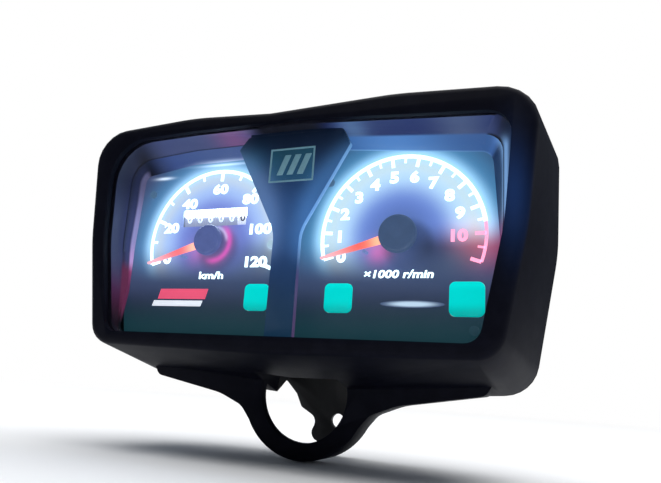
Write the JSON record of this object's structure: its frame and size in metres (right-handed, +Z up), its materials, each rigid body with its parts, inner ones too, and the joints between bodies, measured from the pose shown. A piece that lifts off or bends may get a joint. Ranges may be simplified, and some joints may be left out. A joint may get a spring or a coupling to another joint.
{
  "type": "motorcycle instrument cluster",
  "caption": "Twin-dial instrument cluster with speedometer, tachometer, odometer, indicator lamps, ignition switch collar, rear case with cable spigots and a steel mounting bracket.",
  "frame": {"origin": "middle of the two bracket bolt holes, on the back face of the steel bracket", "axes": "+X to the rider's right, +Y away from the rider along the bolts and cable spigots, +Z up"},
  "size_m": [0.2012, 0.0971, 0.141],
  "materials": {
    "black_plastic": "grained moulding, semi-matt",
    "rear_plastic": "ribbed moulding, matt",
    "mask_plastic": "smooth satin moulding",
    "clear_lens": "clear moulded window",
    "badge_ink": "pale satin print",
    "dial_print": "printed translucent plate, lit from behind",
    "lamp_green": "translucent tinted plastic",
    "white_plastic": "white reflector moulding",
    "needle_orange": "fluorescent, lit from the hub",
    "cap_black": "satin",
    "rubber": "matt",
    "bulb_glass": "clear glass",
    "die_cast": "as cast",
    "spun_aluminium": "spun",
    "ferrite": "sintered",
    "zinc_steel": "zinc plated",
    "spring_bronze": "bright strip",
    "brass": "machined",
    "drum_black": "moulded, printed figures",
    "drum_white": "moulded, printed figures",
    "bracket_steel": "black powder coat"
  },
  "bodies": {
    "housing": {"top_cover": "black_plastic", "lens": "clear_lens", "mask": "mask_plastic", "centre_panel": "mask_plastic", "emblem_badge": "badge_ink", "speedo_dial": "dial_print", "tach_dial": "dial_print", "dial_screws": "zinc_steel", "stop_pins": "zinc_steel", "high_beam_lens": "lamp_green", "neutral_lens": "lamp_green", "turn_lens": "lamp_green", "light_box": "white_plastic", "rear_case": "rear_plastic", "case_gasket": "rubber", "case_screws": "zinc_steel", "backlight_bulbs": "bulb_glass", "indicator_bulbs": "bulb_glass", "bulb_sockets": "rubber", "harness_grommet": "rubber", "speedo_frame": "die_cast", "speedo_union": "zinc_steel", "tach_frame": "die_cast", "tach_union": "zinc_steel", "movement_screws": "zinc_steel", "odometer_frame": "zinc_steel", "odometer_shaft": "zinc_steel", "mounting_bracket": "bracket_steel", "grommets": "rubber", "grommet_sleeves": "zinc_steel", "mount_studs": "zinc_steel", "mount_washers": "zinc_steel", "mount_nuts": "zinc_steel"},
    "speedo_pointer": {"speedo_cup": "spun_aluminium", "speedo_hairspring": "spring_bronze", "speedo_needle": "needle_orange", "speedo_cap": "cap_black"},
    "speedo_drive": {"speedo_input_shaft": "zinc_steel", "speedo_magnet": "ferrite"},
    "tach_pointer": {"tach_cup": "spun_aluminium", "tach_hairspring": "spring_bronze", "tach_needle": "needle_orange", "tach_cap": "cap_black"},
    "tach_drive": {"tach_input_shaft": "zinc_steel", "tach_magnet": "ferrite"},
    "cross_shaft": {"odometer_cross_shaft": "brass"},
    "drum_1": {"odometer_drum_1": "drum_white"},
    "drum_2": {"odometer_drum_2": "drum_black"},
    "drum_3": {"odometer_drum_3": "drum_black"},
    "drum_4": {"odometer_drum_4": "drum_black"},
    "drum_5": {"odometer_drum_5": "drum_black"},
    "drum_6": {"odometer_drum_6": "drum_black"}
  },
  "joints": [
    {"name": "speedo_needle_turn", "type": "hinge", "parent": "housing", "child": "speedo_pointer", "pos_m": [-0.043, -0.0545, 0.05], "axis": [0, 1, 0], "range_deg": [0, 222], "stiffness_Nm_per_rad": 0.00002, "springref_deg": -9.74},
    {"name": "tach_needle_turn", "type": "hinge", "parent": "housing", "child": "tach_pointer", "pos_m": [0.043, -0.0545, 0.05], "axis": [0, 1, 0], "range_deg": [0, 218], "stiffness_Nm_per_rad": 0.00002, "springref_deg": -9.74},
    {"name": "speedo_input_turn", "type": "hinge", "parent": "housing", "child": "speedo_drive", "pos_m": [-0.043, 0.0035, 0.05], "axis": [0, 1, 0], "continuous": true},
    {"name": "tach_input_turn", "type": "hinge", "parent": "housing", "child": "tach_drive", "pos_m": [0.043, 0.0035, 0.05], "axis": [0, 1, 0], "continuous": true},
    {"name": "cross_shaft_turn", "type": "hinge", "parent": "housing", "child": "cross_shaft", "pos_m": [-0.043, -0.0065, 0.0591], "axis": [1, 0, 0], "continuous": true},
    {"name": "drum_1_turn", "type": "hinge", "parent": "housing", "child": "drum_1", "pos_m": [-0.03, -0.0439, 0.0615], "axis": [1, 0, 0], "continuous": true},
    {"name": "drum_2_turn", "type": "hinge", "parent": "housing", "child": "drum_2", "pos_m": [-0.0356, -0.0439, 0.0615], "axis": [1, 0, 0], "continuous": true},
    {"name": "drum_3_turn", "type": "hinge", "parent": "housing", "child": "drum_3", "pos_m": [-0.0412, -0.0439, 0.0615], "axis": [1, 0, 0], "continuous": true},
    {"name": "drum_4_turn", "type": "hinge", "parent": "housing", "child": "drum_4", "pos_m": [-0.0468, -0.0439, 0.0615], "axis": [1, 0, 0], "continuous": true},
    {"name": "drum_5_turn", "type": "hinge", "parent": "housing", "child": "drum_5", "pos_m": [-0.0524, -0.0439, 0.0615], "axis": [1, 0, 0], "continuous": true},
    {"name": "drum_6_turn", "type": "hinge", "parent": "housing", "child": "drum_6", "pos_m": [-0.058, -0.0439, 0.0615], "axis": [1, 0, 0], "continuous": true}
  ],
  "couplings": [
    {"joint": "cross_shaft_turn", "follows": "speedo_input_turn", "ratio": -0.0625},
    {"joint": "drum_2_turn", "follows": "drum_1_turn", "ratio": 0.1},
    {"joint": "drum_3_turn", "follows": "drum_1_turn", "ratio": 0.01},
    {"joint": "drum_4_turn", "follows": "drum_1_turn", "ratio": 0.001},
    {"joint": "drum_5_turn", "follows": "drum_1_turn", "ratio": 0.0001},
    {"joint": "drum_6_turn", "follows": "drum_1_turn", "ratio": 0.00001}
  ]
}
